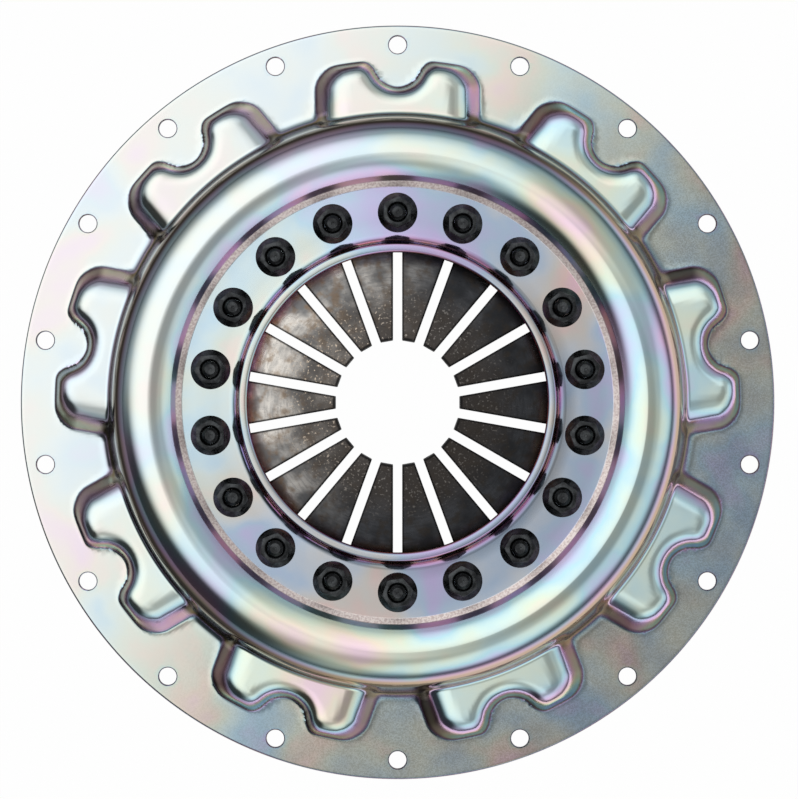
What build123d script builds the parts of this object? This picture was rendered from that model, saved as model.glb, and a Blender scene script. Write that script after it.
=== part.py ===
"""Clutch cover assembly with its pressure plate, for a lug-driven clutch.

Millimetres, +Z up. The origin is on the clutch axis, in the face of the flange that
bolts to the flywheel, and +Z points to the gearbox. +Y is the middle of one lobe.
The diaphragm spring stands in its free cone and the plate hangs at its lowest place.
"""

import os
from math import cos, radians, sin, sqrt, tan

from build123d import *

# ---------------------------------------------------------------- driving dimensions
# Pressed cover: one sheet, with a bolting flange, a domed middle and a turned-up collar.
# Radii are stepped in from the bolt circle, and heights down from the crown.
sheet = 3.5
flange_bolt_radius = 130.0
flange_bolt_count = 18
flange_bolt_hole = 6.4
flange_margin = 7.0
flange_edge_round = 0.8
flange_to_wall = 24.155
crown_height = 39.5
crown_width = 3.5
crown_round = 13.0
crown_inner_round = 8.6
wall_draft = 8.0
foot_round = 5.0
trough_depth = 5.6
trough_reach = 9.3
trough_rise = 0.9
trough_step = 2.1
collar_reach = 10.9
collar_height = 4.2
collar_bend = 3.5
collar_edge_round = 1.2

# Nine flat lobes that the plate's lugs slide in
lobe_count = 9
lobe_height = 16.0
lobe_rim_inset = 5.8
lobe_spacing = 6.2
lobe_side_draft = 25.0
lobe_rim_draft = 10.0
lobe_corner = 7.0
lobe_edge_round = 3.8
lobe_inner_round = 0.6
lobe_mouth_round = 3.0
lobe_foot_round = 1.2
scallop_inset = 6.4
scallop_radius = 8.3
scallop_draft = 10.0
scallop_mouth_round = 4.4

# Pivot studs and flange nuts that hold the diaphragm spring
stud_count = 18
stud_shank = 7.0
stud_thread = 5.9
stud_end_chamfer = 1.1
stud_stand = 7.1
stud_head = 13.0
stud_head_height = 2.5
stud_head_chamfer = 0.5
nut_flange = 14.2
nut_flange_edge = 1.1
nut_flange_height = 2.2
nut_across_flats = 10.0
nut_height = 6.0
nut_chamfer = 30.0
nut_countersink = 7.4
nut_turn = 25.0

# Fulcrum wires and diaphragm spring
wire = 3.5
spring_sheet = 2.5
spring_cone = 12.0
spring_lever = 18.2
spring_edge_round = 0.5
finger_count = 18
finger_tip_radius = 22.4
finger_slot = 3.3
finger_window = 9.0

# Cast pressure plate
plate_margin = 6.5
plate_width = 35.0
plate_lowest = 2.0
plate_edge = 1.0
plate_lift = 3.0
ridge_inset = 2.7
ridge_width = 4.0
ridge_gap = 9.0
lug_corner = 3.0

# Retracting clips that hold the plate to the rim of the spring
clip_count = 3
clip_sheet = 1.2
clip_width = 12.0
clip_leg_gap = 2.0
clip_hook = 5.0
clip_bend = 0.8
clip_foot = 13.5
clip_screw_inset = 6.5
clip_thread = 4.0
clip_screw_head = 7.5
clip_screw_head_height = 1.8
clip_screw_recess = 0.8

# Clearances
fit = 0.05
thread_fit = 0.1
bolt_fit = 0.5
running_gap = 0.3
lobe_gap = 0.5
sliding_gap = 0.7
wall_gap = 2.555
stud_gap = 2.07

# ---------------------------------------------------------------- shared heights
cone_slope = tan(radians(spring_cone))
cone_cos = cos(radians(spring_cone))
half_spring = spring_sheet / 2 / cone_cos
wire_radius = wire / 2
wire_offset = (spring_sheet / 2 + wire_radius) / cone_cos + fit

flange_top = sheet
trough_top = crown_height - trough_depth
trough_under = trough_top - sheet
collar_top = trough_top + collar_height
upper_wire_height = trough_under - fit - wire_radius
fulcrum_height = upper_wire_height - wire_offset
lower_wire_height = fulcrum_height - wire_offset
stud_head_top = lower_wire_height - wire_radius - fit
plate_top = stud_head_top - stud_head_height - stud_gap - plate_lift
lug_top = lobe_height - sheet - lobe_gap - plate_lift - clip_screw_head_height - clip_sheet
lug_raised_top = lug_top + plate_lift

# ---------------------------------------------------------------- shared radii
wall_slope = tan(radians(wall_draft))
flange_radius = flange_bolt_radius + flange_margin
wall_foot_radius = flange_bolt_radius - flange_to_wall
wall_top_radius = wall_foot_radius - (crown_height - flange_top) * wall_slope
crown_radius = wall_top_radius - crown_round * tan(radians((90 - wall_draft) / 2))
lobe_radius = flange_bolt_radius - lobe_rim_inset
lobe_half_width = wall_foot_radius * sin(radians(180 / lobe_count)) - lobe_spacing
scallop_centre = flange_bolt_radius - scallop_inset

wall_inside_radius = wall_foot_radius - (plate_top + plate_lift - flange_top) * wall_slope
plate_radius = wall_inside_radius - sheet / cos(radians(wall_draft)) - wall_gap
spring_radius = plate_radius - plate_margin
ridge_radius = spring_radius - ridge_inset
fulcrum_radius = spring_radius - spring_lever
stud_circle = fulcrum_radius - wire_radius - stud_shank / 2 - fit
clip_leg_radius = spring_radius + clip_leg_gap
clip_screw_radius = clip_leg_radius + clip_sheet + clip_screw_inset
crown_inner_radius = crown_radius - crown_width
trough_radius = stud_circle + trough_reach
collar_radius = stud_circle - collar_reach


def spring_height(radius):
    """Middle of the spring's sheet at a radius, in its free cone."""
    return fulcrum_height - (radius - fulcrum_radius) * cone_slope


ridge_top = spring_height(ridge_radius) - half_spring - running_gap


def finish(piece, name):
    """Label a finished piece and write it under its own name."""
    piece.label = name
    export_step(piece, f"parts/{name}.step")


# ---------------------------------------------------------------- cover
def cover_path():
    """Upper skin of the pressed sheet, from the collar's top out to the flange edge."""
    corners = [
        (collar_radius, collar_top),
        (collar_radius, trough_top),
        (trough_radius, trough_top),
        (trough_radius + trough_step, trough_top + trough_rise),
        (crown_inner_radius, crown_height),
        (wall_top_radius, crown_height),
        (wall_foot_radius, flange_top),
        (flange_radius, flange_top),
    ]
    rounds = [collar_bend, trough_step / 2, sheet, crown_inner_round, crown_round, foot_round]
    with BuildLine() as path:
        FilletPolyline(*corners, radius=rounds)
    return path.wires()[0]


def cavity():
    """Space under the pressed sheet, closed down to just below the flange."""
    under = cover_path().offset_2d(sheet, side=Side.RIGHT, closed=False)
    collar, edge = sorted((under @ 0, under @ 1), key=lambda end: end.X)
    with BuildPart() as space:
        with BuildSketch(Plane.XZ):
            with BuildLine():
                add(under)
                Polyline(collar, (collar.X, crown_height), (0, crown_height))
                Polyline((0, crown_height), (0, -sheet), (edge.X, -sheet), edge)
            make_face()
        revolve(axis=Axis.Z)
    return space.part


def lobe(inset, edge_round):
    """One lobe on +Y; inset moves each of its faces in, to give the hollow inside it."""
    top = lobe_height - inset
    base = flange_top / 2 - 2 * inset
    side_slope = tan(radians(lobe_side_draft))
    rim_slope = tan(radians(lobe_rim_draft))
    scallop_slope = tan(radians(scallop_draft))
    side_inset = inset / cos(radians(lobe_side_draft))
    rim_inset = inset / cos(radians(lobe_rim_draft))
    scallop_inset = inset / cos(radians(scallop_draft))

    def half_width(height):
        return lobe_half_width - side_inset - (height - flange_top) * side_slope

    def rim(height):
        return lobe_radius - rim_inset - (height - flange_top) * rim_slope

    def bite(height):
        return scallop_radius + scallop_inset + (height - flange_top) * scallop_slope

    with BuildPart() as block:
        with BuildSketch(Plane.XZ.offset(-crown_radius)):
            with BuildLine():
                Polyline(
                    (-half_width(base), base),
                    (half_width(base), base),
                    (half_width(top), top),
                    (-half_width(top), top),
                    close=True,
                )
            make_face()
        extrude(amount=-flange_radius)
        with BuildSketch(Plane.XZ):
            with BuildLine():
                Polyline((0, base), (rim(base), base), (rim(top), top), (0, top), close=True)
            make_face()
        revolve(axis=Axis.Z, mode=Mode.INTERSECT)
        corners = block.edges().filter_by(lambda e: e.bounding_box().size.Z > top - base - fit)
        corners = corners.filter_by(lambda e: e.center().Y > wall_foot_radius)
        fillet(corners, lobe_corner - inset)
        with Locations((0, scallop_centre, (base + top) / 2)):
            Cone(bite(base), bite(top), top - base, mode=Mode.SUBTRACT)
        mouth = block.edges().filter_by(lambda e: e.bounding_box().size.Z > top - base - fit)
        mouth = mouth.filter_by(lambda e: abs(e.center().X) < bite(top))
        fillet(mouth, scallop_mouth_round - inset)
        rims = block.faces().sort_by(Axis.Z)[-1].edges()
        fillet(rims.filter_by(lambda e: e.center().Y > crown_radius + fit), edge_round)
    return block.part


def pressed_cover():
    """The cover: a dome with nine lobes grown on it, drilled, then hollowed to one sheet."""
    outer_lobe = lobe(0, lobe_edge_round)
    inner_lobe = lobe(sheet, lobe_inner_round)
    under_sheet = cavity()
    with BuildPart() as cover:
        with BuildSketch(Plane.XZ):
            with BuildLine():
                add(cover_path())
                Polyline(
                    (flange_radius, flange_top),
                    (flange_radius, 0),
                    (0, 0),
                    (0, collar_top),
                    (collar_radius, collar_top),
                )
            make_face()
        revolve(axis=Axis.Z)
        fillet(cover.edges().filter_by(GeomType.CIRCLE).sort_by(SortBy.RADIUS)[-1], flange_edge_round)
        with PolarLocations(flange_bolt_radius, flange_bolt_count, start_angle=90):
            Hole(flange_bolt_hole / 2)
        with PolarLocations(stud_circle, stud_count, start_angle=90):
            Hole(stud_thread / 2 + bolt_fit)
        with PolarLocations(0, lobe_count):
            add(outer_lobe)
        fillet(cover.edges(Select.NEW), lobe_foot_round)
        add(under_sheet, mode=Mode.SUBTRACT)
        with PolarLocations(0, lobe_count):
            add(inner_lobe, mode=Mode.SUBTRACT)
        mouths = cover.edges().filter_by_position(Axis.Z, 0, 0).filter_by(lambda e: e.length > fit)
        fillet(mouths.filter_by(inside_flange), lobe_mouth_round)
        collar_rims = cover.edges().filter_by(GeomType.CIRCLE)
        fillet(collar_rims.filter_by_position(Axis.Z, collar_top, collar_top), collar_edge_round)
    return cover.part


def inside_flange(edge):
    """Whether an edge lies inside the ring of flange bolts and is no bolt hole."""
    centre = edge.center()
    reach = sqrt(centre.X**2 + centre.Y**2)
    return wall_foot_radius - foot_round < reach < flange_bolt_radius - flange_bolt_hole / 2


# ---------------------------------------------------------------- diaphragm spring and its wires
def fulcrum_ring(height):
    """One round wire bent into a ring that the spring rocks on."""
    with BuildPart() as ring:
        with BuildSketch(Plane.XZ):
            with Locations((fulcrum_radius, height)):
                Circle(wire_radius)
        revolve(axis=Axis.Z)
    return ring.part


def diaphragm_spring():
    """A sprung cone, slotted into fingers from its tip circle out to a row of windows."""
    tip_height = spring_height(finger_tip_radius)
    rim_height = spring_height(spring_radius)
    with BuildPart() as spring:
        with BuildSketch(Plane.XZ) as section:
            with BuildLine():
                Polyline(
                    (finger_tip_radius, tip_height - half_spring),
                    (spring_radius, rim_height - half_spring),
                    (spring_radius, rim_height + half_spring),
                    (finger_tip_radius, tip_height + half_spring),
                    close=True,
                )
            make_face()
            fillet(section.vertices(), spring_edge_round)
        revolve(axis=Axis.Z)
        with BuildSketch(Plane.XY):
            with PolarLocations(0, finger_count, start_angle=90):
                with Locations((stud_circle / 2, 0)):
                    Rectangle(stud_circle, finger_slot)
            with PolarLocations(stud_circle, finger_count, start_angle=90):
                Circle(finger_window / 2)
        extrude(amount=crown_height, mode=Mode.SUBTRACT)
    return spring.part


# ---------------------------------------------------------------- studs and nuts
def pivot_stud():
    """Shouldered stud: a disc head under the lower wire, and a thread up through the cover."""
    thread_top = trough_top + stud_stand
    with BuildPart() as stud:
        with Locations((0, 0, stud_head_top - stud_head_height)):
            Cylinder(stud_head / 2, stud_head_height, align=(Align.CENTER, Align.CENTER, Align.MIN))
        chamfer(stud.edges().filter_by(GeomType.CIRCLE), stud_head_chamfer)
        with BuildSketch(Plane.XY.offset(stud_head_top)):
            Circle(stud_shank / 2)
        extrude(amount=trough_under - stud_head_top)
        with BuildSketch(Plane.XY.offset(trough_under)):
            Circle(stud_thread / 2)
        extrude(amount=thread_top - trough_under)
        chamfer(stud.edges().sort_by(Axis.Z)[-1], stud_end_chamfer)
    return stud.part


def pivot_nut():
    """Flange nut: a hexagon with a chamfered top on a coned flange, bored right through."""
    corner = nut_across_flats / 2 / cos(radians(30))
    drop = (corner - nut_across_flats / 2 + thread_fit) * tan(radians(nut_chamfer))
    top = trough_top + nut_height
    bore = stud_thread / 2 + thread_fit
    with BuildPart() as nut:
        with BuildSketch(Plane.XY.offset(trough_top)):
            RegularPolygon(nut_across_flats / 2, 6, major_radius=False)
        extrude(amount=nut_height)
        with BuildSketch(Plane.XZ):
            with BuildLine():
                Polyline(
                    (0, trough_top),
                    (corner, trough_top),
                    (corner, top - drop),
                    (nut_across_flats / 2 - thread_fit, top),
                    (0, top),
                    close=True,
                )
            make_face()
        revolve(axis=Axis.Z, mode=Mode.INTERSECT)
        with BuildSketch(Plane.XZ):
            with BuildLine():
                Polyline(
                    (0, trough_top),
                    (nut_flange / 2, trough_top),
                    (nut_flange / 2, trough_top + nut_flange_edge),
                    (nut_across_flats / 2, trough_top + nut_flange_height),
                    (0, trough_top + nut_flange_height),
                    close=True,
                )
            make_face()
        revolve(axis=Axis.Z)
        with Locations((0, 0, top)):
            CounterSinkHole(bore, nut_countersink / 2, counter_sink_angle=90)
    return nut.part


# ---------------------------------------------------------------- pressure plate and its clips
def pressure_plate():
    """Cast ring with a friction face below, a broken ridge above and forked lugs round it."""
    bite = (
        scallop_radius
        + sheet / cos(radians(scallop_draft))
        + (lug_raised_top - flange_top) * tan(radians(scallop_draft))
        + sliding_gap
    )
    lug_half_width = (
        lobe_half_width
        - sheet / cos(radians(lobe_side_draft))
        - (lug_raised_top - flange_top) * tan(radians(lobe_side_draft))
        - sliding_gap
    )
    lug_radius = (
        lobe_radius
        - sheet / cos(radians(lobe_rim_draft))
        - (lug_raised_top - flange_top) * tan(radians(lobe_rim_draft))
        - sliding_gap
    )
    with BuildPart() as plate:
        with BuildSketch(Plane.XY.offset(plate_lowest)):
            Circle(plate_radius)
            Circle(plate_radius - plate_width, mode=Mode.SUBTRACT)
        extrude(amount=plate_top - plate_lowest)
        chamfer(plate.edges().filter_by(GeomType.CIRCLE), plate_edge)
        with BuildSketch(Plane.XZ):
            with Locations((ridge_radius, ridge_top - ridge_width / 2)):
                Circle(ridge_width / 2)
            with Locations((ridge_radius, ridge_top - ridge_width / 2)):
                Rectangle(
                    ridge_width,
                    ridge_top - ridge_width / 2 - plate_top + plate_edge,
                    align=(Align.CENTER, Align.MAX),
                )
        revolve(axis=Axis.Z)
        with BuildSketch(Plane.XY.offset(plate_top)):
            with PolarLocations(ridge_radius, finger_count, start_angle=90):
                Rectangle(2 * ridge_width, ridge_gap)
        extrude(amount=crown_height, mode=Mode.SUBTRACT)
        with BuildSketch(Plane.XY.offset(plate_lowest)) as lugs:
            with PolarLocations(0, lobe_count, start_angle=90):
                with Locations((ridge_radius, 0)):
                    Rectangle(
                        lug_radius - ridge_radius,
                        2 * lug_half_width,
                        align=(Align.MIN, Align.CENTER),
                    )
            with PolarLocations(scallop_centre, lobe_count, start_angle=90):
                Circle(bite, mode=Mode.SUBTRACT)
            Circle(lug_radius, mode=Mode.INTERSECT)
            horns = lugs.vertices().filter_by(lambda v: sqrt(v.X**2 + v.Y**2) > plate_radius)
            fillet(horns, lug_corner)
        extrude(amount=lug_top - plate_lowest)
        with BuildSketch(Plane.XY.offset(lug_top)):
            with PolarLocations(clip_leg_radius - running_gap, clip_count, start_angle=90):
                Rectangle(
                    plate_radius,
                    clip_width + 2 * running_gap,
                    align=(Align.MIN, Align.CENTER),
                )
        extrude(amount=plate_top, mode=Mode.SUBTRACT)
        with PolarLocations(clip_screw_radius, clip_count, start_angle=90):
            Hole(clip_thread / 2 + fit)
    return plate.part


def retracting_clip():
    """Bent strip on +Y: a foot on the lug, a leg up past the plate and a hook over the spring."""
    hook_under = spring_height(clip_leg_radius - clip_hook) + half_spring + running_gap
    with BuildLine() as skin:
        FilletPolyline(
            (clip_leg_radius - clip_hook, hook_under),
            (clip_leg_radius, hook_under),
            (clip_leg_radius, lug_top),
            (clip_leg_radius + clip_foot, lug_top),
            radius=[clip_bend, clip_bend + clip_sheet],
        )
    with BuildPart() as clip:
        with BuildSketch(Plane.YZ):
            with BuildLine():
                add(skin.wires()[0].offset_2d(clip_sheet, side=Side.LEFT, closed=True))
            make_face()
        extrude(amount=clip_width / 2, both=True)
        with Locations((0, clip_screw_radius, 0)):
            Hole(clip_thread / 2 + thread_fit)
    return clip.part


def clip_screw():
    """Low-headed screw on +Y that holds a clip's foot down on its lug."""
    head_seat = lug_top + clip_sheet
    with BuildPart() as screw:
        with Locations((0, clip_screw_radius, head_seat)):
            Cylinder(
                clip_screw_head / 2,
                clip_screw_head_height,
                align=(Align.CENTER, Align.CENTER, Align.MIN),
            )
        chamfer(screw.edges().sort_by(Axis.Z)[-1], stud_head_chamfer)
        with Locations((0, clip_screw_radius, head_seat)):
            Cylinder(
                clip_thread / 2,
                head_seat - plate_lowest - clip_screw_recess,
                align=(Align.CENTER, Align.CENTER, Align.MAX),
            )
    return screw.part


# ---------------------------------------------------------------- the assembly
def finish_ring(piece, name, count):
    """Repeat a piece that stands on +Y round the axis, numbered from +Y."""
    for number in range(count):
        with BuildPart() as copy:
            with PolarLocations(0, 1, start_angle=number * 360 / count):
                add(piece)
        finish(copy.part, f"{name}_{number + 1:02d}")


os.makedirs("parts", exist_ok=True)
finish(pressed_cover(), "cover")
finish(diaphragm_spring(), "diaphragm_spring")
finish(fulcrum_ring(upper_wire_height), "fulcrum_ring_upper")
finish(fulcrum_ring(lower_wire_height), "fulcrum_ring_lower")
finish(pressure_plate(), "pressure_plate")
finish_ring(retracting_clip(), "retracting_clip", clip_count)
finish_ring(clip_screw(), "clip_screw", clip_count)

stud = pivot_stud()
nut = pivot_nut()
for number, place in enumerate(PolarLocations(stud_circle, stud_count, start_angle=90), 1):
    with BuildPart() as pivot:
        with Locations(place):
            add(stud)
    finish(pivot.part, f"pivot_stud_{number:02d}")
    with BuildPart() as fastener:
        with Locations(place * Rotation(0, 0, nut_turn * number)):
            add(nut)
    finish(fastener.part, f"pivot_nut_{number:02d}")
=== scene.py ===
import math

import bmesh
import bpy
import numpy as np
from mathutils import Matrix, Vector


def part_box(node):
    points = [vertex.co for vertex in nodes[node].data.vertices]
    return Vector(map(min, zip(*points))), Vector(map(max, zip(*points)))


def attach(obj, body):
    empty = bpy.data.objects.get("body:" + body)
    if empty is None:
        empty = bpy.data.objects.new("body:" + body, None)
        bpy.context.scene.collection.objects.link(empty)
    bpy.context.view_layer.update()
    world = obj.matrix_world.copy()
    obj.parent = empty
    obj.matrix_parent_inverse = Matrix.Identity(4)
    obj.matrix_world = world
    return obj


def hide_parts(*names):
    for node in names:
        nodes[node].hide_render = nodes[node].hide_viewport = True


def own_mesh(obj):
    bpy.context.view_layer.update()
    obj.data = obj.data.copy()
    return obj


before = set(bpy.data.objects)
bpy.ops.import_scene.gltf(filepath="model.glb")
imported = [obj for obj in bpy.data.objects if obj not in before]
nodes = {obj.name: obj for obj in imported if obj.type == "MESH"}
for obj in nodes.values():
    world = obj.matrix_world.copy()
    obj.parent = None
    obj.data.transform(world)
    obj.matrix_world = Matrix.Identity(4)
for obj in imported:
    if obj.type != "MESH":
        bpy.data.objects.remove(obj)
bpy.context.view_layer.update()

mm = 0.001

# ---------------------------------------------------------------- camera, floor and light
# The part lies on its flange on a white studio floor. The camera hangs two metres over it
# with a long lens. One large bright panel stands on the upper left, softer ones lower down
# round the part, and the right side is dimmer.
camera_height = 2003.5 * mm
framed_height = 3.5 * mm
view_width = 290.4 * mm
camera_data = bpy.data.cameras.new("camera")
camera_data.sensor_width = 36
camera_data.lens = camera_data.sensor_width * (camera_height - framed_height) / view_width
camera = bpy.data.objects.new("camera", camera_data)
camera.location = (0.5 * mm, 1.05 * mm, camera_height)
bpy.context.collection.objects.link(camera)
bpy.context.scene.camera = camera
bpy.context.scene.view_settings.view_transform = "Standard"


def grown(tree, kind, values=None, **settings):
    """Adds a shader node; values holds plain values or other nodes' outputs, by socket."""
    made = tree.nodes.new("ShaderNode" + kind)
    for name, setting in settings.items():
        setattr(made, name, setting)
    for socket, value in (values or {}).items():
        if isinstance(value, bpy.types.NodeSocket):
            tree.links.new(value, made.inputs[socket])
        else:
            made.inputs[socket].default_value = value
    return made


def sums(tree, operation, first, second=0.0, clamp=False):
    """One Math node's result."""
    return grown(tree, "Math", {0: first, 1: second}, operation=operation, use_clamp=clamp).outputs[0]


def plus(tree, first, second):
    """The sum of two values."""
    return sums(tree, "ADD", first, second)


def times(tree, first, second):
    """The product of two values."""
    return sums(tree, "MULTIPLY", first, second)


def along(tree, place, way):
    """How far a place lies in one direction."""
    return grown(tree, "VectorMath", {0: place, 1: way}, operation="DOT_PRODUCT").outputs["Value"]


def length(tree, way):
    """How long a vector is."""
    return grown(tree, "VectorMath", {0: way}, operation="LENGTH").outputs["Value"]


def between(tree, value, low, high, first=0.0, last=1.0):
    """Carries a value smoothly from first to last while it goes from low to high."""
    limits = {"Value": value, "From Min": low, "From Max": high, "To Min": first, "To Max": last}
    return grown(tree, "MapRange", limits, interpolation_type="SMOOTHSTEP").outputs[0]


def tinted(tree, amount, first, second, mode="MIX"):
    """Mixes two colours by an amount."""
    mixer = grown(tree, "Mix", {0: amount, 6: first, 7: second}, data_type="RGBA", blend_type=mode)
    return mixer.outputs[2]


def shade_ramp(tree, value, stops):
    """A colour ramp through (place, red, green, blue) stops."""
    made = grown(tree, "ValToRGB", {"Fac": value})
    ramp = made.color_ramp
    while len(ramp.elements) < len(stops):
        ramp.elements.new(0.5)
    for element, (place, *colour) in zip(ramp.elements, stops):
        element.position = place
        element.color = (*colour, 1)
    return made.outputs[0]


def material(name):
    """A new material with its tree and its Principled shader."""
    made = bpy.data.materials.new(name)
    made.use_nodes = True
    return made, made.node_tree, made.node_tree.nodes["Principled BSDF"]


def piece_from(name, shape, finish):
    """Turns a bmesh into an object with one finish, smooth-shaded."""
    mesh = bpy.data.meshes.new(name)
    shape.to_mesh(mesh)
    shape.free()
    mesh.materials.append(finish)
    for face in mesh.polygons:
        face.use_smooth = True
    piece = bpy.data.objects.new(name, mesh)
    bpy.context.collection.objects.link(piece)
    return piece


def dressed(tree, shader, colour, rough, metallic=1):
    """Gives a shader its colour, its roughness and its share of metal."""
    tree.links.new(colour, shader.inputs["Base Color"])
    tree.links.new(rough, shader.inputs["Roughness"])
    shader.inputs["Metallic"].default_value = metallic


def dented(tree, shader, height, depth, over=None):
    """Bumps a shader's surface by a height, over another bump where there is one."""
    values = {"Strength": 1.0, "Distance": depth, "Height": height}
    if over is not None:
        values["Normal"] = over
    bumped = grown(tree, "Bump", values).outputs[0]
    tree.links.new(bumped, shader.inputs["Normal"])
    return bumped


# The floor is white to the camera. In mirror images it fades away from the part and
# towards the upper left.
floor_reach = 3.0
floor_drop = 0.05 * mm
floor_brightness = 0.99
upper_left_way = (-0.85, 0.53, 0.0)
floor_white, tree, shader = material("floor_white")
shader.inputs["Base Color"].default_value = (0.12, 0.12, 0.12, 1)
shader.inputs["Roughness"].default_value = 0.9
rays = grown(tree, "LightPath")
spot = grown(tree, "TexCoord").outputs["Object"]
near_part = between(tree, length(tree, spot), 0.15, 0.5, 0.9, 0.1)
right_side = between(tree, along(tree, spot, upper_left_way), -0.12, 0.06, 1.0, 0.07)
mirrored = times(tree, rays.outputs["Is Glossy Ray"], times(tree, near_part, right_side))
seen = sums(tree, "MAXIMUM", rays.outputs["Is Camera Ray"], mirrored)
seen = sums(tree, "MAXIMUM", seen, rays.outputs["Is Transmission Ray"])
paper = grown(tree, "Emission", {"Strength": 1.0})
share = times(tree, seen, floor_brightness)
sweep_shader = grown(tree, "MixShader", {0: share, 1: shader.outputs[0], 2: paper.outputs[0]})
tree.links.new(sweep_shader.outputs[0], tree.nodes["Material Output"].inputs["Surface"])
sweep = bmesh.new()
bmesh.ops.create_grid(sweep, x_segments=1, y_segments=1, size=floor_reach)
bmesh.ops.translate(sweep, verts=sweep.verts, vec=(0, 0, -floor_drop))
floor = piece_from("floor", sweep, floor_white)

world = bpy.data.worlds.new("studio")
bpy.context.scene.world = world
world.use_nodes = True
sky = world.node_tree
direction = grown(sky, "TexCoord").outputs["Generated"]
height = grown(sky, "SeparateXYZ", {0: direction}).outputs[2]
level = between(sky, height, -0.1, 0.35, 0.03, 0.33)
level = plus(sky, level, between(sky, height, 0.35, 0.6, 0.0, 0.06))

# Each soft panel: its turn from the right, its fall from straight up, the angles at which
# it starts and stops fading, all in degrees, and its brightness.
panels = [
    (85, 44, 5, 24, 0.62),
    (325, 55, 5, 28, 0.60),
    (288, 58, 4, 28, 0.73),
    (0, 63, 4, 26, 0.65),
    (215, 72, 20, 42, 0.03),
    (148, 27, 8, 50, 0.94),
    (335, 17, 7, 19, 0.27),
]
for around, down, inner, outer, brightness in panels:
    around, down = math.radians(around), math.radians(down)
    towards = (math.sin(down) * math.cos(around), math.sin(down) * math.sin(around), math.cos(down))
    facing = along(sky, direction, towards)
    mask = between(sky, facing, math.cos(math.radians(outer)), math.cos(math.radians(inner)))
    level = grown(sky, "Mix", {0: mask, 2: level, 3: brightness}, data_type="FLOAT").outputs[0]
sky.links.new(level, sky.nodes["Background"].inputs["Color"])
sky.nodes["Background"].inputs["Strength"].default_value = 1.15


def softbox(name, place, size, power):
    """A square panel that looks at the middle of the part and casts no glare on it."""
    light = bpy.data.lights.new(name, "AREA")
    light.size = size
    light.energy = power
    lamp = bpy.data.objects.new(name, light)
    lamp.location = place
    lamp.rotation_euler = (-lamp.location).to_track_quat("-Z", "Y").to_euler()
    lamp.visible_glossy = False
    bpy.context.collection.objects.link(lamp)


softbox("key_panel", (-0.9, 0.5, 1.3), 0.9, 16)
softbox("fill_panel", (0.9, -0.4, 1.2), 0.7, 6)


# ---------------------------------------------------------------- plated cover
# The cover is one sheet of steel, blanked, drawn into a dome with nine square lobes and a
# turned-up collar, then bright zinc plated. The thin passivated film on the zinc shows
# pale rainbow tints, and the steep drawn walls carry the thickest, golden film. Painted
# shade and painted light lie over these tints on the walls, the flange and the nut ring.
sheet = 3.5 * mm
flange_radius = 137.0 * mm
flange_edge = 0.8 * mm
crown_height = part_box("cover")[1][2]
crown_radius = 89.485 * mm
crown_round = 13.0 * mm
crown_inner_radius = 85.6 * mm
crown_inner_round = 12.8 * mm
wall_draft = math.radians(8)
foot_round = 3.6 * mm
trough_top = crown_height - 5.6 * mm
trough_radius = 77.3 * mm
trough_step = 2.1 * mm
trough_rise = 0.9 * mm
slope_foot_radius = 81.2 * mm
slope_foot_rise = 2.75 * mm
collar_radius = 57.1 * mm
collar_top = trough_top + 4.2 * mm
collar_bend = 3.5 * mm
lobe_count = 9
lobe_top = 16.0 * mm
lobe_radius = 124.2 * mm
lobe_half_width = 30.0 * mm
lobe_side_draft = math.radians(25)
lobe_rim_draft = math.radians(10)
lobe_corner = 7.0 * mm
lobe_edge_round = 4.5 * mm
lobe_foot_round = 1.0 * mm
lobe_root_round = 1.7 * mm
lobe_root_reach = 6.0 * mm
scallop_centre = 123.1 * mm
scallop_radius = 8.8 * mm
scallop_draft = math.radians(10)
scallop_thinning = 0.28
scallop_mouth = 4.4 * mm
bolt_circle = 130.0 * mm
bolt_hole = 6.4 * mm
bolt_count = 18
wall_top_radius = crown_radius + crown_round * math.tan((math.pi / 2 - wall_draft) / 2)
wall_foot_radius = wall_top_radius + (crown_height - sheet) * math.tan(wall_draft)


def rounded_path(corners, rounds, steps):
    """A run of points through the corners, each inner corner turned by an arc."""
    path = [np.array(corners[0])]
    for before, corner, after, radius in zip(corners, corners[1:], corners[2:], rounds):
        corner = np.array(corner)
        back = np.array(before) - corner
        on = np.array(after) - corner
        back /= np.linalg.norm(back)
        on /= np.linalg.norm(on)
        half = math.acos(float(np.clip(back @ on, -1, 1))) / 2
        middle = (back + on) / np.linalg.norm(back + on)
        centre = corner + middle * radius / math.sin(half)
        start = corner + back * radius / math.tan(half) - centre
        end = corner + on * radius / math.tan(half) - centre
        for step in range(steps + 1):
            share = step / steps
            spoke = start * (1 - share) + end * share
            path.append(centre + spoke * radius / np.linalg.norm(spoke))
    path.append(np.array(corners[-1]))
    return path


def divided(path, longest):
    """The same path with its long runs cut up; longest gives the most at a point."""
    fine = [path[0]]
    for start, end in zip(path, path[1:]):
        run = np.linalg.norm(end - start)
        parts = max(1, math.ceil(run / longest((start + end) / 2)))
        fine += [start + (end - start) * part / parts for part in range(1, parts + 1)]
    return fine


def round_union(a, b, radius):
    """Distance to two joined solids, with a fillet in the corner between them."""
    reach = np.hypot(np.maximum(radius - a, 0), np.maximum(radius - b, 0))
    return np.maximum(radius, np.minimum(a, b)) - reach


def round_overlap(a, b, radius):
    """Distance to what two solids share, with a round on the edge between them."""
    reach = np.hypot(np.maximum(radius + a, 0), np.maximum(radius + b, 0))
    return np.minimum(-radius, np.maximum(a, b)) + reach


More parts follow.
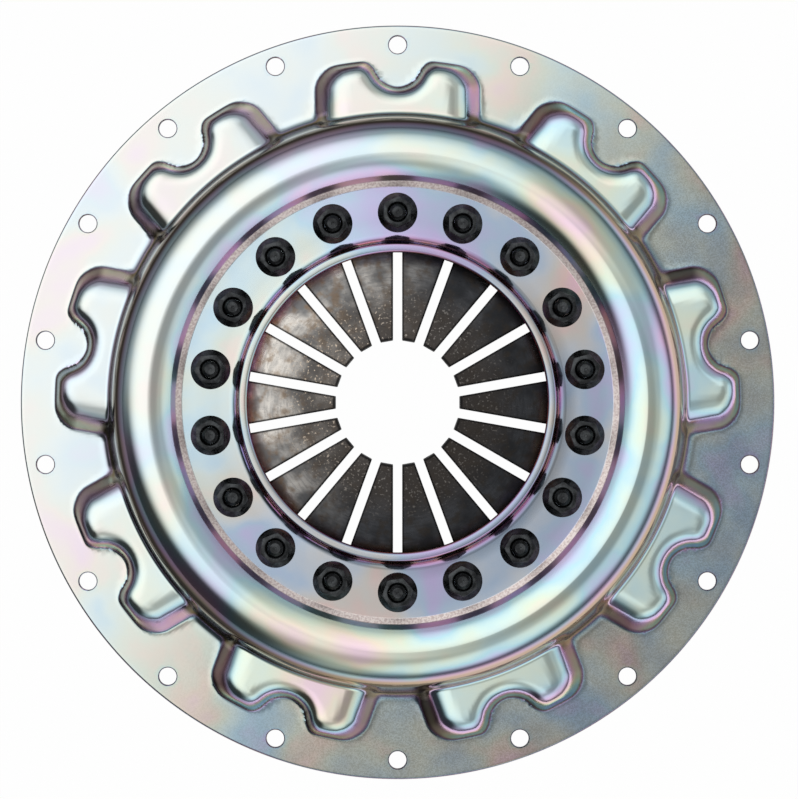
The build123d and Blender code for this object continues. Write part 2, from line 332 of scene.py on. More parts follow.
def lobe_skin(x, y, z, inset):
    """Distance to a lobe's own form."""
    pitch = 2 * math.pi / lobe_count
    turn = (np.arctan2(x, y) + pitch / 2) % pitch - pitch / 2
    reach = np.hypot(x, y)
    across = np.abs(reach * np.sin(turn))
    along = reach * np.cos(turn)
    rise = z - sheet
    side = (across - lobe_half_width + rise * math.tan(lobe_side_draft)) * math.cos(lobe_side_draft)
    rim = (reach - lobe_radius + rise * math.tan(lobe_rim_draft)) * math.cos(lobe_rim_draft)
    bite = scallop_radius + rise * math.tan(scallop_draft) - np.hypot(across, along - scallop_centre)
    outline = round_overlap(side + inset, rim + inset, lobe_corner - inset)
    bite = bite * math.cos(scallop_draft) + inset * (1 - scallop_thinning)
    outline = round_overlap(outline, bite, scallop_mouth - inset)
    return round_overlap(outline, z - lobe_top + inset, lobe_edge_round - inset)


def pressed_skin(x, y, z, inset):
    """Distance to the pressed form round the lobes; inset gives its under side."""
    rise = z - sheet
    lobe = lobe_skin(x, y, z, inset)
    wall = (np.hypot(x, y) - wall_foot_radius + rise * math.tan(wall_draft)) * math.cos(wall_draft)
    ground = round_union(rise + inset, wall + inset, foot_round + inset)
    near_wall = np.clip(1 - wall / lobe_root_reach, 0, 1)
    near_wall = near_wall * near_wall * (3 - 2 * near_wall)
    foot = lobe_foot_round + (lobe_root_round - lobe_foot_round) * near_wall
    return round_union(lobe, ground, foot + inset)


halvings = 26


def press_lobes(points, inset):
    """Heights to which the flat flange and the wall's foot are pressed up."""
    x, y, low = points.T
    high = np.full_like(low, lobe_top + 4 * foot_round)
    start = low.copy()
    for _ in range(halvings):
        middle = (low + high) / 2
        inside = pressed_skin(x, y, middle, inset) < 0
        low = np.where(inside, middle, low)
        high = np.where(inside, high, middle)
    return np.maximum(start, low)


lobe_row = 0.9 * mm
wall_row = 1.8 * mm
plain_row = 5 * mm
under_lobe_row = 2.2 * mm
under_plain_row = 8 * mm


def fine_upper(point):
    """The upper skin's longest row at a point."""
    on_lobes = wall_foot_radius < point[0] < lobe_radius + 3 * mm
    on_wall = point[0] > crown_radius and lobe_top + foot_round > point[1] > 2 * foot_round
    return lobe_row if on_lobes else wall_row if on_wall else plain_row


def fine_under(point):
    """The under skin's longest row at a point."""
    near_lobes = point[0] > crown_radius and point[1] < lobe_top + foot_round
    return under_lobe_row if near_lobes and point[0] < lobe_radius + foot_round else under_plain_row


collar_edge = 1.2 * mm
upper_arc_steps = 8
under_arc_steps = 6
upper_corners = [
    (collar_radius - sheet / 2, collar_top),
    (collar_radius, collar_top),
    (collar_radius, trough_top),
    (trough_radius, trough_top),
    (trough_radius + trough_step, trough_top + trough_rise),
    (slope_foot_radius, trough_top + slope_foot_rise),
    (crown_inner_radius, crown_height),
    (wall_top_radius, crown_height),
    (wall_foot_radius, sheet),
    (flange_radius, sheet),
    (flange_radius, sheet / 2),
]
upper_rounds = [collar_edge, collar_bend, trough_step / 2, 0.3 * mm, 3 * mm]
upper_rounds += [crown_inner_round, crown_round, foot_round, flange_edge]
upper = divided(rounded_path(upper_corners, upper_rounds, upper_arc_steps), fine_upper)
slope_rise = crown_height - trough_top - trough_rise
slope_run = math.hypot(crown_inner_radius - trough_radius - trough_step, slope_rise)
slope_lean = slope_rise / slope_run
wall_shift = sheet * (1 - math.sin(wall_draft)) / math.cos(wall_draft)
slope_shift = sheet * (1 - math.sqrt(1 - slope_lean**2)) / slope_lean
under_corners = [
    (flange_radius, sheet / 2),
    (flange_radius, 0),
    (wall_foot_radius - wall_shift, 0),
    (wall_top_radius - wall_shift, crown_height - sheet),
    (crown_inner_radius + slope_shift, crown_height - sheet),
    (trough_radius + trough_step, trough_top - sheet + trough_rise / 3),
    (collar_radius - sheet, trough_top - sheet),
    (collar_radius - sheet, collar_top),
    (collar_radius - sheet / 2, collar_top),
]
under_rounds = [flange_edge, foot_round + sheet, crown_round - sheet, crown_inner_round - 2 * sheet]
under_rounds += [sheet, collar_bend + sheet, collar_edge]
under = divided(rounded_path(under_corners, under_rounds, under_arc_steps), fine_under)


def repeated(shape, count):
    """Turns copies of a shape round the clutch's axis, count in all."""
    pitch = 2 * math.pi / count
    first = shape.verts[:] + shape.edges[:] + shape.faces[:]
    for number in range(1, count):
        copied = bmesh.ops.duplicate(shape, geom=first)["geom"]
        corners = [part for part in copied if isinstance(part, bmesh.types.BMVert)]
        turned = Matrix.Rotation(number * pitch, 3, "Z")
        bmesh.ops.rotate(shape, verts=corners, cent=(0, 0, 0), matrix=turned)


# One lobe's share of the dome is spun up first, with its steps crowded where the lobe's
# walls stand. It is divided once more along the lobe's foot, then pressed, and repeated.
sector_steps = 50
crowding = math.radians(0.75)
crowded_places = 4
foot_band_inner = -2.6 * mm
foot_band_outer = 1.3 * mm
hair = 0.01 * mm
press_margin = 8 * mm
weld = 0.002 * mm
cover_shape = bmesh.new()
pitch = 2 * math.pi / lobe_count
outline = upper[:-1] + under[:-1]
spoke = np.array([math.sin(pitch / 2), math.cos(pitch / 2)])
profile = [cover_shape.verts.new((*(spoke * point[0]), point[1])) for point in outline]
edges = [cover_shape.edges.new(pair) for pair in zip(profile, profile[1:] + profile[:1])]
bmesh.ops.spin(
    cover_shape,
    geom=profile + edges,
    axis=(0, 0, 1),
    cent=(0, 0, 0),
    angle=pitch,
    steps=sector_steps,
    use_merge=False,
)
bmesh.ops.recalc_face_normals(cover_shape, faces=cover_shape.faces)
places = np.array([vert.co for vert in cover_shape.verts])
reach = np.hypot(places[:, 0], places[:, 1])
turn = np.arctan2(places[:, 0], places[:, 1])
turn += crowding * np.sin(crowded_places * turn / pitch * 2 * math.pi)
places[:, 0] = reach * np.sin(turn)
places[:, 1] = reach * np.cos(turn)
for vert, place in zip(cover_shape.verts, places):
    vert.co = place
from_lobe = lobe_skin(*places.T, 0.0)
by_foot = (places[:, 2] > sheet - hair) & (reach > wall_foot_radius + foot_round)
by_foot &= (from_lobe > foot_band_inner) & (from_lobe < foot_band_outer)
cover_shape.verts.index_update()
close = [edge for edge in cover_shape.edges if all(by_foot[vert.index] for vert in edge.verts)]
bmesh.ops.subdivide_edges(cover_shape, edges=close, cuts=1, use_grid_fill=True)
places = np.array([vert.co for vert in cover_shape.verts])
reach = np.hypot(places[:, 0], places[:, 1])
wall = (reach - wall_foot_radius + (places[:, 2] - sheet) * math.tan(wall_draft)) * math.cos(wall_draft)
is_upper = round_union(places[:, 2] - sheet, wall, foot_round) > -sheet / 2
pressed = (reach > crown_radius) & (reach < lobe_radius + foot_round)
pressed &= places[:, 2] < lobe_top + press_margin
for skin, inset in ((is_upper, 0.0), (~is_upper, sheet)):
    chosen = pressed & skin
    places[chosen, 2] = press_lobes(places[chosen], inset)
for vert, place in zip(cover_shape.verts, places):
    vert.co = place
repeated(cover_shape, lobe_count)
bmesh.ops.remove_doubles(cover_shape, verts=cover_shape.verts, dist=weld)


def turned_shape(outline, steps):
    """A closed shape spun from one outline about its own upright axis."""
    shape = bmesh.new()
    line = [shape.verts.new((across, 0, up)) for across, up in outline]
    rims = [shape.edges.new(pair) for pair in zip(line, line[1:])]
    bmesh.ops.spin(
        shape,
        geom=line + rims,
        axis=(0, 0, 1),
        cent=(0, 0, 0),
        angle=2 * math.pi,
        steps=steps,
        use_merge=True,
    )
    bmesh.ops.remove_doubles(shape, verts=shape.verts, dist=weld / 2)
    bmesh.ops.recalc_face_normals(shape, faces=shape.faces)
    return shape


def tool_row(name, outline, steps, count, circle):
    """Closed turned cutters, set round a circle."""
    tools = turned_shape(outline, steps)
    bmesh.ops.translate(tools, verts=tools.verts, vec=(0, circle, 0))
    repeated(tools, count)
    return piece_from(name, tools, floor_white)


def baked(piece):
    """Applies a piece's modifiers to its mesh."""
    ready = bpy.data.meshes.new_from_object(piece.evaluated_get(bpy.context.evaluated_depsgraph_get()))
    piece.modifiers.clear()
    piece.data = ready


def point_values(piece, name, values):
    """Stores one number per vertex, for a material to read."""
    stored = piece.data.attributes.new(name, "FLOAT", "POINT")
    stored.data.foreach_set("value", np.ascontiguousarray(values))


hole_edge = 0.35 * mm
hole_steps = 32
flare = 1.2 * mm
cover_sharp_angle = math.radians(42)
drill_line = [
    (0, -flare),
    (bolt_hole / 2 + hole_edge + flare, -flare),
    (bolt_hole / 2, hole_edge),
    (bolt_hole / 2, sheet - hole_edge),
    (bolt_hole / 2 + hole_edge + flare, sheet + flare),
    (0, sheet + flare),
]
zinc_cover, tree, shader = material("zinc_cover")
cover = piece_from("plated_cover", cover_shape, zinc_cover)
drills = tool_row("drills", drill_line, hole_steps, bolt_count, bolt_circle)
drilling = cover.modifiers.new("drilling", "BOOLEAN")
drilling.operation = "DIFFERENCE"
drilling.solver = "MANIFOLD"
drilling.object = drills
baked(cover)
bpy.data.objects.remove(drills)
cover.data.materials.clear()
cover.data.materials.append(zinc_cover)
cover.data.polygons.foreach_set("material_index", np.zeros(len(cover.data.polygons), dtype=np.int32))
cover.data.set_sharp_from_angle(angle=cover_sharp_angle)
lean = np.zeros(len(cover.data.vertices) * 3)
cover.data.vertices.foreach_get("normal", lean)
lean = lean.reshape(-1, 3)
point_values(cover, "level", lean[:, 2])
point_values(cover, "facing_left", lean @ upper_left_way)


def effect(name, takes, gives):
    """An empty shader group; takes maps its inputs to first values, gives lists outputs."""
    group = bpy.data.node_groups.new(name, "ShaderNodeTree")
    for socket, value in takes.items():
        kind = "NodeSocketVector" if value is None else "NodeSocketFloat"
        made = group.interface.new_socket(socket, in_out="INPUT", socket_type=kind)
        if value is not None:
            made.default_value = value
    for socket in gives:
        group.interface.new_socket(socket, in_out="OUTPUT", socket_type="NodeSocketFloat")
    return group, group.nodes.new("NodeGroupInput").outputs, group.nodes.new("NodeGroupOutput").inputs


def laid_flat(tree, place):
    """A place without its height."""
    return grown(tree, "VectorMath", {0: place, 1: (1.0, 1.0, 0.0)}, operation="MULTIPLY").outputs[0]


def mottled(tree, place, size, low, high):
    """The mottle's mask in a material."""
    values = {"Place": place, "Size": size, "Low": low, "High": high}
    return grown(tree, "Group", values, node_tree=mottle).outputs["Mask"]


def scratched(tree, place, width, turn, amount):
    """The scratches' mask in a material."""
    values = {"Place": place, "Width": width, "Turn": turn, "Amount": amount}
    return grown(tree, "Group", values, node_tree=scratches).outputs["Mask"]


mottle, takes, gives = effect("mottle", {"Place": None, "Size": 0.01, "Low": 0.35, "High": 0.65}, ["Mask"])
fineness = sums(mottle, "DIVIDE", 1.0, takes["Size"])
cloud = grown(mottle, "TexNoise", {"Vector": takes["Place"], "Scale": fineness, "Detail": 5.0})
mottle.links.new(between(mottle, cloud.outputs[0], takes["Low"], takes["High"]), gives["Mask"])

scratch_takes = {"Place": None, "Width": 0.0003, "Turn": 0.6, "Amount": 0.3}
scratches, takes, gives = effect("scratches", scratch_takes, ["Mask"])
turning = {"Vector": takes["Place"], "Angle": takes["Turn"]}
turned = grown(scratches, "VectorRotate", turning, rotation_type="Z_AXIS").outputs[0]
stretched = grown(scratches, "VectorMath", {0: turned, 1: (0.03, 1.0, 1.0)}, operation="MULTIPLY")
fineness = sums(scratches, "DIVIDE", 1.0, takes["Width"])
lines = grown(scratches, "TexNoise", {"Vector": stretched.outputs[0], "Scale": fineness, "Detail": 2.0})
threshold = sums(scratches, "SUBTRACT", 0.78, times(scratches, takes["Amount"], 0.3))
limit = plus(scratches, threshold, 0.06)
scratches.links.new(between(scratches, lines.outputs[0], threshold, limit), gives["Mask"])

place = grown(tree, "TexCoord").outputs["Object"]
spot = grown(tree, "SeparateXYZ", {0: place})
level_seen = sums(tree, "ABSOLUTE", grown(tree, "Attribute", attribute_name="level").outputs["Fac"])
radius = length(tree, laid_flat(tree, place))
upper_left = along(tree, place, upper_left_way)

# The film's tints wander over the sheet and turn richer where the sheet leans.
tilt = sums(tree, "SUBTRACT", 1.0, level_seen)
wander = {"Vector": place, "Scale": 22.0, "Detail": 2.0, "Distortion": 0.5}
broad = grown(tree, "TexNoise", wander).outputs[0]
small = grown(tree, "TexNoise", {"Vector": place, "Scale": 80.0, "Detail": 3.0}).outputs[0]
film = times(tree, broad, 1.5)
film = plus(tree, film, times(tree, small, 0.30))
film = plus(tree, film, times(tree, tilt, 1.3))
film = sums(tree, "FRACT", plus(tree, film, between(tree, radius, 70 * mm, 84 * mm, 0.12, 0.0)))
film_tints = [
    (0.0, 0.74, 0.93, 0.88),
    (0.14, 0.58, 0.85, 0.94),
    (0.30, 0.70, 0.72, 0.97),
    (0.46, 0.90, 0.68, 0.95),
    (0.62, 0.98, 0.74, 0.83),
    (0.76, 0.96, 0.85, 0.70),
    (0.88, 0.82, 0.92, 0.76),
    (1.0, 0.74, 0.93, 0.88),
]
tint = shade_ramp(tree, film, film_tints)
# Towards the upper left the tints give way to a pale silver, which is painted light.
thickness = between(tree, upper_left, -10 * mm, 105 * mm, 0.90, 0.36)
thickness = plus(tree, thickness, between(tree, radius, 90 * mm, 80 * mm, 0.0, 0.3))
thickness = sums(tree, "ADD", thickness, tilt, clamp=True)
tint = tinted(tree, thickness, (0.93, 0.935, 0.965, 1), tint)
tint = tinted(tree, tilt, tint, tint, "MULTIPLY")

# Away from the upper left the flange is painted darker, as painted shade, and it turns grey, cloudy and
# grainy there.
low_down = between(tree, spot.outputs[2], 7 * mm, 4 * mm)
dull = times(tree, between(tree, upper_left, 45 * mm, -75 * mm), low_down)
painted_flange_shade = times(tree, between(tree, upper_left, 115 * mm, -110 * mm), low_down)
tint = tinted(tree, painted_flange_shade, tint, (0.70, 0.66, 0.73, 1), "MULTIPLY")
grain = mottled(tree, place, 0.55 * mm, 0.36, 0.66)
patches = mottled(tree, place, 14 * mm, 0.35, 0.68)
grey = times(tree, dull, between(tree, grain, 0.0, 1.0, 0.6, 1.0))
tint = tinted(tree, grey, tint, (0.65, 0.63, 0.58, 1), "MULTIPLY")
clouded = times(tree, times(tree, dull, patches), 0.8)
tint = tinted(tree, clouded, tint, (0.76, 0.77, 0.85, 1), "MULTIPLY")

# The ring under the nuts has its own tone, painted paler towards the upper left as painted light, and the
# step beside it is coined and pitted.
upward = between(tree, spot.outputs[2], trough_top - 1 * mm, trough_top - 0.5 * mm)
nut_ring = times(tree, between(tree, radius, 80 * mm, 77 * mm), upward)
ring_painted_light_side = between(tree, upper_left, 15 * mm, 70 * mm)
ring_tone_and_painted_light = tinted(tree, ring_painted_light_side, (0.72, 0.61, 0.70, 1), (0.88, 0.88, 0.94, 1))
tint = tinted(tree, nut_ring, tint, ring_tone_and_painted_light, "MULTIPLY")
coined = between(tree, radius, 79.2 * mm, 79.9 * mm, 1.0, 0.0)
coined = times(tree, coined, between(tree, radius, 77.0 * mm, 77.6 * mm))
coined = times(tree, coined, upward)
pitted = mottled(tree, place, 0.8 * mm, 0.40, 0.62)
peach = tinted(tree, pitted, (1.0, 0.90, 0.86, 1), (0.74, 0.62, 0.60, 1))
tint = tinted(tree, coined, tint, peach)

# The dome's wall carries a golden film. Its colour is painted dark bronze on the upper left
# as painted shade, bright gold on the lower right as painted light, and lighter towards its
# foot as painted light. The lobes' walls carry painted shade where they face the upper left.
dome_wall_end = 106.5 * mm
lobe_walls_start = 109 * mm
steep = between(tree, level_seen, 0.74, 0.50)
steep = times(tree, steep, between(tree, radius, 88 * mm, 94 * mm))
steep = times(tree, steep, between(tree, radius, lobe_walls_start, dome_wall_end))
wall_painted_light_side = between(tree, upper_left, 20 * mm, -60 * mm)
wall_foot_painted_light = between(tree, spot.outputs[2], 12 * mm, 6 * mm)
painted_shade_bronze = tinted(tree, broad, (0.13, 0.085, 0.05, 1), (0.07, 0.065, 0.05, 1))
painted_shade_bronze = tinted(tree, wall_foot_painted_light, painted_shade_bronze, (0.24, 0.165, 0.08, 1))
gold_film_and_painted_light = tinted(tree, broad, (0.62, 0.46, 0.20, 1), (0.58, 0.42, 0.42, 1))
gold_film_and_painted_light = tinted(tree, wall_foot_painted_light, gold_film_and_painted_light, (0.85, 0.62, 0.42, 1))
tint = tinted(tree, steep, tint, tinted(tree, wall_painted_light_side, painted_shade_bronze, gold_film_and_painted_light))
lobe_wall = between(tree, level_seen, 0.76, 0.55)
lobe_wall = times(tree, lobe_wall, between(tree, radius, dome_wall_end, lobe_walls_start))
facing_seen = grown(tree, "Attribute", attribute_name="facing_left").outputs["Fac"]
# Painted shade: the lobes' walls are darkened where they face the upper left.
painted_lobe_shade = times(tree, lobe_wall, between(tree, facing_seen, 0.1, 0.6))
tint = tinted(tree, painted_lobe_shade, tint, (0.18, 0.15, 0.15, 1), "MULTIPLY")

# The collar's bend carries an orange and rose film.
bend = times(tree, between(tree, level_seen, 0.92, 0.6), between(tree, radius, 63 * mm, 61 * mm))
bend_film = tinted(tree, between(tree, small, 0.42, 0.58), (0.98, 0.66, 0.44, 1), (0.84, 0.60, 0.72, 1))
tint = tinted(tree, bend, tint, bend_film, "MULTIPLY")

# Handling marks cross the sheet in two directions, most of them where it is dull.
marks = scratched(tree, place, 0.22 * mm, 0.75, 0.3)
more_marks = scratched(tree, place, 0.16 * mm, -0.5, 0.22)
marks = sums(tree, "MAXIMUM", marks, more_marks)
marks = times(tree, marks, between(tree, dull, 0.0, 1.0, 0.15, 1.0))
tint = tinted(tree, times(tree, marks, 0.4), tint, (0.72, 0.76, 0.74, 1))

rough = plus(tree, 0.13, times(tree, dull, 0.07))
rough = plus(tree, rough, times(tree, grey, 0.12))
rough = plus(tree, rough, times(tree, coined, 0.3))
rough = plus(tree, rough, times(tree, lobe_wall, 0.15))
step_wall = between(tree, radius, 79.2 * mm, 79.8 * mm)
step_wall = times(tree, step_wall, between(tree, radius, 83 * mm, 81 * mm))
rough = plus(tree, rough, times(tree, step_wall, 0.15))
rough = plus(tree, rough, times(tree, marks, 0.12))
dressed(tree, shader, tint, rough)
ripple = grown(tree, "TexNoise", {"Vector": place, "Scale": 60.0, "Detail": 1.0}).outputs[0]
waves = dented(tree, shader, ripple, 0.012 * mm)
surface = times(tree, times(tree, grain, dull), 0.15)
surface = plus(tree, surface, times(tree, pitted, coined))
surface = sums(tree, "SUBTRACT", surface, times(tree, marks, 0.4))
dented(tree, shader, surface, 0.010 * mm, waves)
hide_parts("cover")
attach(cover, "cover_assembly")


# ---------------------------------------------------------------- diaphragm spring
# The spring is blanked from 2.5 mm sheet, slotted into eighteen fingers that end in round
# windows, formed to a shallow cone, hardened and tempered to a mottled gunmetal. The
# release bearing wears small bright flecks in the brown finger tips.
spring_sheet = 2.5 * mm
spring_edge = 0.5 * mm
spring_radius = 91.5 * mm
fulcrum_radius = 73.3 * mm
fulcrum_height = 25.483 * mm
cone_slope = math.tan(math.radians(12))
finger_count = 18
finger_tip_radius = 22.4 * mm
slot_half_width = 1.65 * mm
window_radius = 4.5 * mm
window_centre = 68.0 * mm
slot_end = window_centre - math.sqrt(window_radius**2 - slot_half_width**2)
slot_rows = 22
window_rows = 12
rim_rows = 9
window_start = math.asin((slot_end - window_centre) / window_radius)
window_turns = np.linspace(window_start, math.pi / 2, window_rows)
finger_rows = np.concatenate((
    np.linspace(finger_tip_radius, slot_end, slot_rows)[:-1],
    window_centre + window_radius * np.sin(window_turns),
    np.linspace(window_centre + window_radius, spring_radius, rim_rows)[1:],
))
finger_columns = 10
spring_sharp_angle = math.radians(50)
spring_shape = bmesh.new()
bmesh.ops.create_grid(
    spring_shape,
    x_segments=finger_columns,
    y_segments=len(finger_rows) - 1,
    size=1.0,
)
share_pitch = math.pi / finger_count
for vert in spring_shape.verts:
    row = round((vert.co.y + 1) / 2 * (len(finger_rows) - 1))
    out = finger_rows[row]
    if out < slot_end:
        gap = slot_half_width
    else:
        gap = math.sqrt(max(window_radius**2 - (out - window_centre) ** 2, 0.0))
    gap = 0.0 if out > window_centre + window_radius - 1e-7 else gap
    around = vert.co.x * (share_pitch - math.asin(gap / out)) + share_pitch
    if out < slot_end:
        out *= math.cos(share_pitch - math.asin(gap / out)) / math.cos(around - share_pitch)
    up = fulcrum_height - (out - fulcrum_radius) * cone_slope
    vert.co = (out * math.sin(around), out * math.cos(around), up)
repeated(spring_shape, finger_count)
bmesh.ops.remove_doubles(spring_shape, verts=spring_shape.verts, dist=weld)
bmesh.ops.recalc_face_normals(spring_shape, faces=spring_shape.faces)
gunmetal, tree, shader = material("tempered_gunmetal")
spring = piece_from("finger_spring", spring_shape, gunmetal)
thick = spring.modifiers.new("thickness", "SOLIDIFY")
thick.thickness = spring_sheet
thick.offset = 0
eased = spring.modifiers.new("eased_edges", "BEVEL")
eased.width = spring_edge
eased.segments = 3
eased.limit_method = "ANGLE"
eased.angle_limit = spring_sharp_angle
baked(spring)
spring.data.set_sharp_from_angle(angle=spring_sharp_angle)

place = grown(tree, "TexCoord").outputs["Object"]
flat = laid_flat(tree, place)
radius = length(tree, flat)

# Scale, stains and brush lines run round the spring, and its left side is paler, partly from wear and
# partly as painted light.
clouds = mottled(tree, place, 9 * mm, 0.34, 0.68)
stains = mottled(tree, place, 4 * mm, 0.46, 0.70)
specks = mottled(tree, place, 0.9 * mm, 0.57, 0.70)
around = grown(tree, "VectorMath", {0: flat}, operation="NORMALIZE").outputs[0]
sweep_way = grown(tree, "VectorMath", {0: around, 1: (9.0, 9.0, 9.0)}, operation="MULTIPLY").outputs[0]
swept = grown(tree, "CombineXYZ", {2: times(tree, radius, 1100.0)}).outputs[0]
swept = grown(tree, "VectorMath", {0: sweep_way, 1: swept}, operation="ADD").outputs[0]
brushed = grown(tree, "TexNoise", {"Vector": swept, "Scale": 1.0, "Detail": 3.0}).outputs[0]
left_side = along(tree, place, (-0.93, 0.36, 0.0))
worn_and_painted_light_side = between(tree, left_side, -5 * mm, 58 * mm)
pale = tinted(tree, worn_and_painted_light_side, (0.085, 0.089, 0.098, 1), (0.88, 0.83, 0.76, 1))
dark = tinted(tree, worn_and_painted_light_side, (0.036, 0.038, 0.042, 1), (0.24, 0.24, 0.24, 1))
steel = tinted(tree, times(tree, clouds, between(tree, brushed, 0.3, 0.6, 0.55, 1.0)), dark, pale)
brown = tinted(tree, worn_and_painted_light_side, (0.055, 0.046, 0.038, 1), (0.30, 0.20, 0.12, 1))
steel = tinted(tree, times(tree, stains, 0.7), steel, brown)

# The tips are brown with bright worn flecks, and the fingers are darkened almost to black along the slots'
# edges and at the tips' ends.
tips = between(tree, radius, 46 * mm, 30 * mm)
steel = tinted(tree, times(tree, tips, 0.7), steel, (0.085, 0.072, 0.062, 1))
worn = times(tree, specks, tips)
fleck = tinted(tree, worn_and_painted_light_side, (0.30, 0.28, 0.26, 1), (0.95, 0.76, 0.56, 1))
steel = tinted(tree, worn, steel, fleck)
bearing = grown(tree, "SeparateXYZ", {0: place}).outputs
turn = sums(tree, "ARCTAN2", bearing[0], bearing[1])
turn = sums(tree, "FRACT", plus(tree, sums(tree, "DIVIDE", turn, 2 * share_pitch), 9.5))
aside = sums(tree, "ABSOLUTE", sums(tree, "SUBTRACT", turn, 0.5))
aside = times(tree, times(tree, aside, 2 * share_pitch), radius)
dark_edge_band = between(tree, aside, slot_half_width + 0.9 * mm, slot_half_width + 0.35 * mm)
dark_edge_band = sums(tree, "MAXIMUM", dark_edge_band, between(tree, radius, 23.6 * mm, 22.9 * mm))
steel = tinted(tree, times(tree, dark_edge_band, 0.85), steel, (0.012, 0.012, 0.013, 1))
rubbed = scratched(tree, place, 0.3 * mm, 0.3, 0.5)
rough = between(tree, clouds, 0.0, 1.0, 0.36, 0.26)
rough = sums(tree, "SUBTRACT", rough, times(tree, worn, 0.1))
rough = plus(tree, rough, times(tree, rubbed, 0.12))
dressed(tree, shader, steel, rough)
skin = sums(tree, "SUBTRACT", clouds, times(tree, rubbed, 0.5))
dented(tree, shader, skin, 0.03 * mm)
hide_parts("diaphragm_spring")
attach(spring, "cover_assembly")
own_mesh(spring)


# ---------------------------------------------------------------- fulcrum wires
# Two rings of hard drawn wire, cut, bent round and butt-welded, lie above and below the
# spring and are the line that it rocks on.
def finished(names, finish):
    """Gives CAD solids their finish."""
    for name in names:
        for slot in nodes[name].material_slots:
            slot.material = finish


drawn_wire, tree, shader = material("drawn_wire")
place = grown(tree, "TexCoord").outputs["Object"]
bloom = mottled(tree, place, 6 * mm, 0.3, 0.7)
wire = tinted(tree, bloom, (0.42, 0.42, 0.43, 1), (0.30, 0.27, 0.24, 1))
dressed(tree, shader, wire, between(tree, bloom, 0.0, 1.0, 0.28, 0.42))
drawn = scratched(tree, place, 0.2 * mm, 0.2, 0.4)
dented(tree, shader, drawn, 0.01 * mm)
finished(["fulcrum_ring_upper", "fulcrum_ring_lower"], drawn_wire)


# ---------------------------------------------------------------- studs and flange nuts
# Eighteen headed studs come up through the spring's windows and the cover, and hexagon
# nuts with a round flange clamp them. All are hardened, blacked in hot salts and oiled.
black_oxide, tree, shader = material("black_oxide")
place = grown(tree, "TexCoord").outputs["Object"]
bloom = mottled(tree, place, 3 * mm, 0.38, 0.66)
fine = mottled(tree, place, 0.7 * mm, 0.40, 0.62)
black = tinted(tree, bloom, (0.036, 0.038, 0.040, 1), (0.080, 0.086, 0.090, 1))
dressed(tree, shader, black, between(tree, fine, 0.0, 1.0, 0.20, 0.34))
dented(tree, shader, fine, 0.012 * mm)

stud_low, stud_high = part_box("pivot_stud_01")
stud_foot = stud_low[2]
stud_end = stud_high[2]
stud_head = 6.5 * mm
stud_head_height = 2.5 * mm
stud_head_edge = 0.5 * mm
stud_fillet = 0.3 * mm
stud_shank = 3.5 * mm
stud_lead_in = 1.1 * mm
stud_steps = 32
thread_crest = 2.95 * mm
thread_root = 2.5 * mm
thread_pitch = 1.0 * mm
thread_start = trough_top - sheet
thread_end = stud_end - stud_lead_in
stud_line = [
    (0, stud_foot),
    (stud_head - stud_head_edge, stud_foot),
    (stud_head, stud_foot + stud_head_edge),
    (stud_head, stud_foot + stud_head_height - stud_head_edge),
    (stud_head - stud_head_edge, stud_foot + stud_head_height),
    (stud_shank + stud_fillet, stud_foot + stud_head_height),
    (stud_shank, stud_foot + stud_head_height + stud_fillet),
    (stud_shank, thread_start - stud_fillet),
    (thread_crest, thread_start),
]
for turn in range(int((thread_end - thread_start) / thread_pitch)):
    crest = thread_start + turn * thread_pitch
    stud_line += [
        (thread_crest, crest + 0.15 * mm),
        (thread_root, crest + 0.5 * mm),
        (thread_crest, crest + 0.85 * mm),
    ]
stud_line += [
    (thread_crest, thread_end),
    (thread_crest - stud_lead_in, stud_end),
    (0.6 * mm, stud_end),
    (0, stud_end - 0.35 * mm),
]
stud_shape = turned_shape(stud_line, stud_steps)

nut_flat = 5.0 * mm
nut_corner = 5.66 * mm
nut_height = 6.0 * mm
nut_flange = 7.1 * mm
nut_flange_edge = 0.3 * mm
nut_bore = 3.02 * mm
nut_chamfer_start = 4.8 * mm
nut_chamfer = math.tan(math.radians(30))
nut_columns = 72
nut_sharp_angle = math.radians(28)
nut_turn = math.radians(25)
nut_shape = bmesh.new()
rings = []
for column in range(nut_columns):
    turn = 2 * math.pi * column / nut_columns
    from_flat = (turn + math.pi / 6) % (math.pi / 3) - math.pi / 6
    side = min(nut_flat / math.cos(from_flat), nut_corner)
    inner = side - 0.12 * mm
    cone = 2.2 * mm - (side - nut_flat) * 0.52
    rows = [
        (nut_bore + nut_flange_edge, 0),
        (nut_flange - nut_flange_edge, 0),
        (nut_flange, nut_flange_edge),
        (nut_flange, 0.85 * mm),
        (nut_flange - 0.25 * mm, 1.2 * mm),
        (side + 0.25 * mm, cone - 0.1 * mm),
        (side, cone + 0.2 * mm),
        (side, nut_height - (side - nut_chamfer_start) * nut_chamfer - 0.12 * mm),
        (inner, nut_height - (inner - nut_chamfer_start) * nut_chamfer),
        (nut_chamfer_start - 0.1 * mm, nut_height),
        (3.8 * mm, nut_height),
        (3.65 * mm, nut_height - 0.08 * mm),
        (nut_bore, nut_height - 0.7 * mm),
        (nut_bore, nut_flange_edge),
    ]
    spoke = [(out * math.sin(turn), out * math.cos(turn), trough_top + up) for out, up in rows]
    rings.append([nut_shape.verts.new(point) for point in spoke])
for ring, following in zip(rings, rings[1:] + rings[:1]):
    for row in range(len(ring)):
        nut_shape.faces.new((ring[row - 1], ring[row], following[row], following[row - 1]))
bmesh.ops.recalc_face_normals(nut_shape, faces=nut_shape.faces)


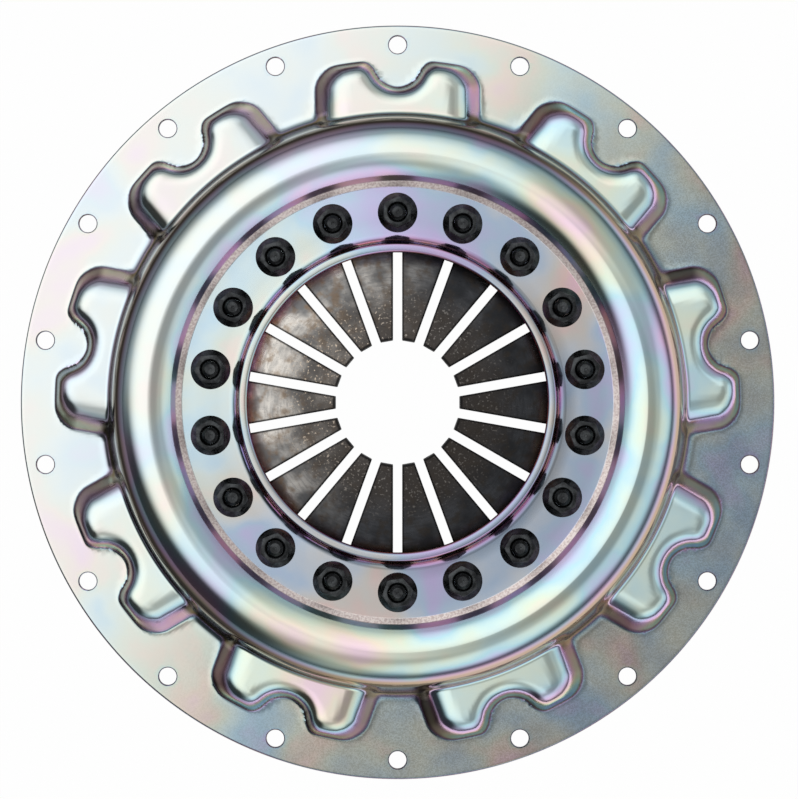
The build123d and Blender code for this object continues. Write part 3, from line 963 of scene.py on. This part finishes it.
def set_on(node, shape, turn):
    """Puts a turned copy of a shape where a CAD node stands, in its place."""
    low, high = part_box(node)
    middle = ((low[0] + high[0]) / 2, (low[1] + high[1]) / 2, 0)
    copied = shape.copy()
    bmesh.ops.rotate(copied, verts=copied.verts, cent=(0, 0, 0), matrix=Matrix.Rotation(turn, 3, "Z"))
    bmesh.ops.translate(copied, verts=copied.verts, vec=middle)
    piece = piece_from(node.replace("pivot", "blacked"), copied, black_oxide)
    piece.data.set_sharp_from_angle(angle=nut_sharp_angle)
    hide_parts(node)
    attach(piece, "cover_assembly")


for number in range(1, finger_count + 1):
    set_on(f"pivot_stud_{number:02d}", stud_shape, 0)
    set_on(f"pivot_nut_{number:02d}", nut_shape, number * nut_turn)
stud_shape.free()
nut_shape.free()


# ---------------------------------------------------------------- pressure plate
# The plate is one grey-iron casting, turned and ground flat on its friction face, with a
# ridge for the spring's rim and nine lugs that slide in the cover's lobes.
cast_iron, tree, shader = material("turned_cast_iron")
place = grown(tree, "TexCoord").outputs["Object"]
radius = length(tree, laid_flat(tree, place))
low = grown(tree, "SeparateXYZ", {0: place}).outputs[2]
sand = mottled(tree, place, 2.2 * mm, 0.3, 0.7)
bloom = mottled(tree, place, 14 * mm, 0.4, 0.7)
face_side = between(tree, low, 2.6 * mm, 2.2 * mm)
rings = grown(tree, "CombineXYZ", {0: times(tree, radius, 2600.0)}).outputs[0]
cuts = grown(tree, "TexNoise", {"Vector": rings, "Scale": 1.0, "Detail": 3.0}).outputs[0]
iron = tinted(tree, sand, (0.20, 0.195, 0.19, 1), (0.34, 0.33, 0.32, 1))
iron = tinted(tree, times(tree, bloom, 0.4), iron, (0.22, 0.17, 0.13, 1))
bright = tinted(tree, cuts, (0.38, 0.38, 0.38, 1), (0.58, 0.57, 0.56, 1))
iron = tinted(tree, face_side, iron, bright)
dressed(tree, shader, iron, between(tree, face_side, 0.0, 1.0, 0.62, 0.32), 0.85)
cut_depth = times(tree, cuts, face_side)
cast_depth = times(tree, sand, sums(tree, "SUBTRACT", 1.0, face_side))
sanded = dented(tree, shader, cast_depth, 0.08 * mm)
dented(tree, shader, cut_depth, 0.02 * mm, sanded)
finished(["pressure_plate"], cast_iron)


# ---------------------------------------------------------------- retracting clips
# Three strips of hard spring steel, blued by tempering, hook over the spring's rim and
# are screwed to the lugs with low-headed black screws.
blued_strip, tree, shader = material("blued_strip")
place = grown(tree, "TexCoord").outputs["Object"]
bloom = mottled(tree, place, 5 * mm, 0.3, 0.7)
blue = tinted(tree, bloom, (0.13, 0.15, 0.24, 1), (0.26, 0.22, 0.24, 1))
dressed(tree, shader, blue, between(tree, bloom, 0.0, 1.0, 0.28, 0.40))
rolled = scratched(tree, place, 0.2 * mm, 1.2, 0.4)
dented(tree, shader, rolled, 0.008 * mm)
finished([name for name in nodes if name.startswith("retracting_clip")], blued_strip)
finished([name for name in nodes if name.startswith("clip_screw")], black_oxide)
